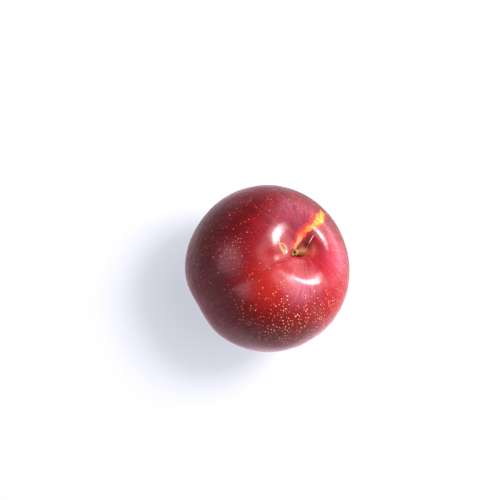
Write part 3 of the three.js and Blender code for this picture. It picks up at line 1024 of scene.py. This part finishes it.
def make_stub(origin):
    floor = pit_bottom() + origin
    root, bend, end = (np.array(place) + floor for place in (STUB_ROOT, STUB_BEND, STUB_END))
    share = np.linspace(0, 1, STUB_RINGS)
    rest = 1 - share
    path = (rest ** 2)[:, None] * root + (2 * share * rest)[:, None] * bend + (share ** 2)[:, None] * end
    along, side, rise = frames_along(path)
    radii = np.interp(share, *np.array(STUB_PROFILE).T)
    turn = FULL_TURN * np.arange(STUB_SIDES) / STUB_SIDES
    ridges = sum(np.sin(count * turn + start) for count, start in STUB_RIDGES)
    wide = radii[:, None] * (1 + STUB_RIDGE_HEIGHT * ridges)
    rings = rings_along(path, side, rise, wide, turn, STUB_FLATNESS)
    grain = STUB_GRAIN_HEIGHT * ripple(rings, STUB_GRAIN_SIZE, STUB_GRAIN_SEED)
    rings += grain[..., None] * (rings - path[:, None]) / radii[:, None, None]
    jag = sum(height * np.sin(count * turn + start) for height, count, start in STUB_JAGS)
    slant = STUB_SLANT * radii[:, None] * np.cos(turn)
    rings += along[-1] * ((jag + slant) * smoothstep(share, *STUB_TORN_PART)[:, None])[..., None]

    rim = rings[-1] - path[-1]
    face = []
    for inner, height in BROKEN_FACE:
        wave = height + FACE_WAVE_HEIGHT * np.sin(FACE_WAVES * turn + FACE_WAVE_TWIST * inner)
        face.append(path[-1] + rim * inner + along[-1] * wave[:, None])
    all_rings = np.concatenate([rings, face])
    pith = path[-1] - PITH_DEPTH * along[-1]
    stub = closed_mesh("stalk_stub", all_rings[::-1, ::-1] * MM, pith * MM, path[0] * MM)

    flat = np.repeat(np.concatenate([share, np.ones(len(face))])[::-1], STUB_SIDES)
    inward = np.concatenate([np.zeros(STUB_RINGS), 1 - np.array(BROKEN_FACE)[:, 0]])
    around = np.tile(turn[::-1], len(all_rings))
    spin = np.stack([np.cos(around), np.sin(around), flat], -1)
    give(stub, "along", np.concatenate([[1], flat, [0]]))
    give(stub, "inward", np.concatenate([[1], np.repeat(inward[::-1], STUB_SIDES), [0]]))
    give(stub, "grain", np.concatenate([[[0, 0, 1]], spin, [[0, 0, 0]]]), "FLOAT_VECTOR")
    return stub


def make_fibre(origin):
    """A torn strand that starts in the stub's root and lies up the back wall of the cavity."""
    places, normals = seen_on_skin(FIBRE_PIXELS, origin)
    knots = places + normals * np.array(FIBRE_LIFTS)[:, None]
    share = np.linspace(0, 1, FIBRE_RINGS)
    spots = np.linspace(0, 1, len(knots))
    path = np.stack([np.interp(share, spots, knots[:, axis]) for axis in range(3)], -1)
    for _ in range(FIBRE_SMOOTHINGS):
        path[1:-1] = (path[:-2] + 2 * path[1:-1] + path[2:]) / 4
    _, side, rise = frames_along(path)
    turn = FULL_TURN * np.arange(FIBRE_SIDES) / FIBRE_SIDES
    thick = FIBRE_RADIUS * (1 - FIBRE_TAPER * share ** 2)
    thick = thick * (1 + FIBRE_LUMPS * np.sin(FIBRE_LUMP_TURNS * share + FIBRE_START))
    shape = 1 + FIBRE_CORNER_HEIGHT * np.sin(FIBRE_CORNERS * turn + FIBRE_START)
    rings = rings_along(path, side, rise, thick[:, None] * shape, turn, FIBRE_FLATNESS)
    strand = closed_mesh("torn_fibre", rings[::-1, ::-1] * MM, path[-1] * MM, path[0] * MM)
    give(strand, "along", np.concatenate([[1], np.repeat(share[::-1], FIBRE_SIDES), [0]]))
    return strand


def bark_material():
    """Streaked bark with a cream collar at the break, cream wood and brown pith."""
    material = new_material("stalk_bark")
    tree = material.node_tree
    grain = vector_maths(tree, attribute(tree, "grain", "Vector"), "MULTIPLY", BARK_STRETCH, 0)
    streak = noise(tree, grain, scale=9, detail=4, roughness=0.6)
    blotch = noise(tree, object_place(tree), scale=1400, detail=3, roughness=0.6)
    inward = attribute(tree, "inward")
    colour = mix(tree, span(tree, streak, *BARK_STREAKS), BARK_BROWN, BARK_OLIVE)
    colour = mix(tree, span(tree, blotch, *BARK_BLOTCHES), colour, BARK_CREAM)
    colour = mix(tree, span(tree, attribute(tree, "along"), *COLLAR_ALONG), colour, BARK_CREAM)
    colour = mix(tree, span(tree, inward, *WOOD_INWARD), colour, WOOD_CREAM)
    colour = mix(tree, span(tree, inward, *PITH_INWARD), colour, PITH_BROWN)
    normal = bump(tree, *BARK_BUMP, streak)
    return finish_material(material, BARK_GLOSS, colour, BARK_ROUGHNESS, normal)


def fibre_material():
    """Brown at the root, then cream, with brown flecks."""
    material = new_material("torn_fibre")
    tree = material.node_tree
    fleck = noise(tree, object_place(tree), scale=2500, detail=3)
    colour = mix(tree, span(tree, attribute(tree, "along"), *FIBRE_PALE_ALONG), PITH_BROWN, FIBRE_CREAM)
    colour = mix(tree, span(tree, fleck, *FIBRE_FLECKS), colour, BARK_BROWN)
    return finish_material(material, FIBRE_GLOSS, colour, FIBRE_ROUGHNESS)


# The floor: the table as the camera sees it, and the warmer light that it sends up, less on the dark
# cheek's side

FLOOR_REACH = 4.0
FLOOR_GREY = (0.032, 0.033, 0.032, 1)
FLOOR_ROUGHNESS = 0.7
FLOOR_SHINE = 0.2
TABLE_WHITE = (0.86, 0.88, 1)
TABLE_BOUNCE = (1, 0.66, 0.77)
TABLE_BRIGHTNESS = 0.66
BOUNCE_REACH = 0.05
BOUNCE_STRENGTHS = (0.3, 1.5)
BOUNCE_TOWARD = (0.8, -0.6, 0)

# The world: faint everywhere, and bright low down behind and to the right
SKY_COLOUR = (0.9, 0.93, 1.0, 1)
SKY_LEAST = 0.13
HORIZON_TOWARD = (0.6, 0.8, 0)
HORIZON_HEIGHTS = (0.0, 0.5)
HORIZON_SIDES = (-0.1, 0.9)
HORIZON_STRENGTHS = (0.06, 3.4)

# The lights: a key for the small highlights, a wide window above and behind, and a soft-edged card in
# front that is made of nested ellipses
LIGHT_DISTANCE = 1.5
KEY = {
    "direction": (0.0, 0.44, 0.9), "width": 0.56, "height": 0.56, "radiance": 140, "colour": (1, 0.96, 0.98),
}
WINDOW = {
    "direction": (0.06, 0.64, 0.77), "width": 2.6, "height": 3.6, "radiance": 9.2, "colour": (1, 0.95, 1.0),
    "across": (-0.685, 0.209, 0.698),
}
CARD = {"direction": (-0.42, -0.86, 0.3), "radiance": 4.3, "colour": (1, 0.88, 0.9)}
CARD_WIDTH = 1.3
CARD_SIZES = (1.0, 0.76, 0.52, 0.3)


def make_floor():
    mesh = bpy.data.meshes.new("floor")
    corners = [(x * FLOOR_REACH, y * FLOOR_REACH, 0) for x, y in ((-1, -1), (1, -1), (1, 1), (-1, 1))]
    mesh.from_pydata(corners, [], [(0, 1, 2, 3)])
    floor = add_object("floor", mesh)
    material = new_material("white_table")
    tree = material.node_tree
    seen = add(tree, "ShaderNodeLightPath").outputs["Is Camera Ray"]
    across = vector_maths(tree, object_place(tree), "DOT_PRODUCT", BOUNCE_TOWARD, "Value")
    bounce = span(tree, across, -BOUNCE_REACH, BOUNCE_REACH, *BOUNCE_STRENGTHS)
    sent = times(tree, bounce, maths(tree, "SUBTRACT", 1.0, seen))
    glow = {
        "Specular IOR Level": FLOOR_SHINE, "Emission Color": mix(tree, seen, TABLE_BOUNCE, TABLE_WHITE),
        "Emission Strength": plus(tree, sent, times(tree, seen, TABLE_BRIGHTNESS)),
    }
    floor.data.materials.append(finish_material(material, glow, FLOOR_GREY, FLOOR_ROUGHNESS))


def make_world():
    world = bpy.data.worlds.new("studio")
    bpy.context.scene.world = world
    world.use_nodes = True
    tree = world.node_tree
    tree.nodes.clear()
    direction = add(tree, "ShaderNodeTexCoord").outputs["Generated"]
    height = add(tree, "ShaderNodeSeparateXYZ", {0: direction}).outputs[2]
    toward = vector_maths(tree, direction, "DOT_PRODUCT", HORIZON_TOWARD, "Value")
    low_down = span(tree, height, *HORIZON_HEIGHTS, 1.0, 0.0)
    horizon = times(tree, low_down, span(tree, toward, *HORIZON_SIDES, *HORIZON_STRENGTHS))
    sky = {"Color": SKY_COLOUR, "Strength": plus(tree, horizon, SKY_LEAST)}
    background = add(tree, "ShaderNodeBackground", sky)
    tree.links.new(background.outputs[0], add(tree, "ShaderNodeOutputWorld").inputs[0])


def soft_light(name, direction, width, height, radiance, colour, across=(1, 0, 0)):
    """A rectangular light of a given brightness facing the plum, with its width along a given direction."""
    data = bpy.data.lights.new(name, "AREA")
    data.shape = "RECTANGLE"
    data.size, data.size_y = width, height
    data.energy = radiance * math.pi * width * height
    data.color = colour
    light = add_object(name, data)
    back = Vector(direction).normalized()
    side = Vector(across)
    side = (side - side.dot(back) * back).normalized()
    turn = Matrix((side, back.cross(side), back)).transposed().to_4x4()
    light.matrix_world = Matrix.Translation(plum_middle + back * LIGHT_DISTANCE) @ turn
    return light


def make_camera():
    back = Vector((0, -math.cos(CAMERA_ELEVATION), math.sin(CAMERA_ELEVATION)))
    level = Vector((1, 0, 0))
    upright = Vector((0, math.sin(CAMERA_ELEVATION), math.cos(CAMERA_ELEVATION)))
    right = math.cos(CAMERA_ROLL) * level + math.sin(CAMERA_ROLL) * upright
    up = -math.sin(CAMERA_ROLL) * level + math.cos(CAMERA_ROLL) * upright
    pixel = CAMERA_SENSOR / CAMERA_LENS * CAMERA_DISTANCE / FRAME_PIXELS
    aside = (PLUM_PIXEL[0] - FRAME_PIXELS / 2) * pixel
    below = (PLUM_PIXEL[1] - FRAME_PIXELS / 2) * pixel
    eye = plum_middle - right * aside + up * below + back * CAMERA_DISTANCE
    data = bpy.data.cameras.new("camera")
    data.lens, data.sensor_width = CAMERA_LENS, CAMERA_SENSOR
    data.clip_start, data.clip_end = CAMERA_CLIP
    camera = add_object("camera", data)
    turn = Matrix((right, up, back)).transposed().to_4x4()
    camera.matrix_world = Matrix.Translation(eye) @ turn
    bpy.context.scene.camera = camera
    return eye, right, up, back


# The making, camera first, because the marks on the skin are looked up through it

plum_middle = (fruit_low + fruit_high) / 2
plum_middle.z = fruit_low.z + BASE_HEIGHT * MM
camera_place, camera_right, camera_up, camera_back = make_camera()
bpy.context.scene.view_settings.view_transform = "Standard"
make_world()
make_floor()
soft_light("key", **KEY)
soft_light("window", **WINDOW)
for size in CARD_SIZES:
    card = soft_light("front_card", width=CARD_WIDTH * size, height=size, **CARD)
    card.data.shape = "ELLIPSE"

skin, body_origin = make_skin()
skin.data.materials.append(skin_material())
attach(skin, "root")
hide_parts("fruit")

dots = make_dots(skin)
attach(dots, "root")

stub = make_stub(body_origin)
stub.data.materials.append(bark_material())
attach(stub, "root")
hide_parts("stem_remnant")

fibre = make_fibre(body_origin)
fibre.data.materials.append(fibre_material())
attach(fibre, "root")
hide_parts("stem_remnant")
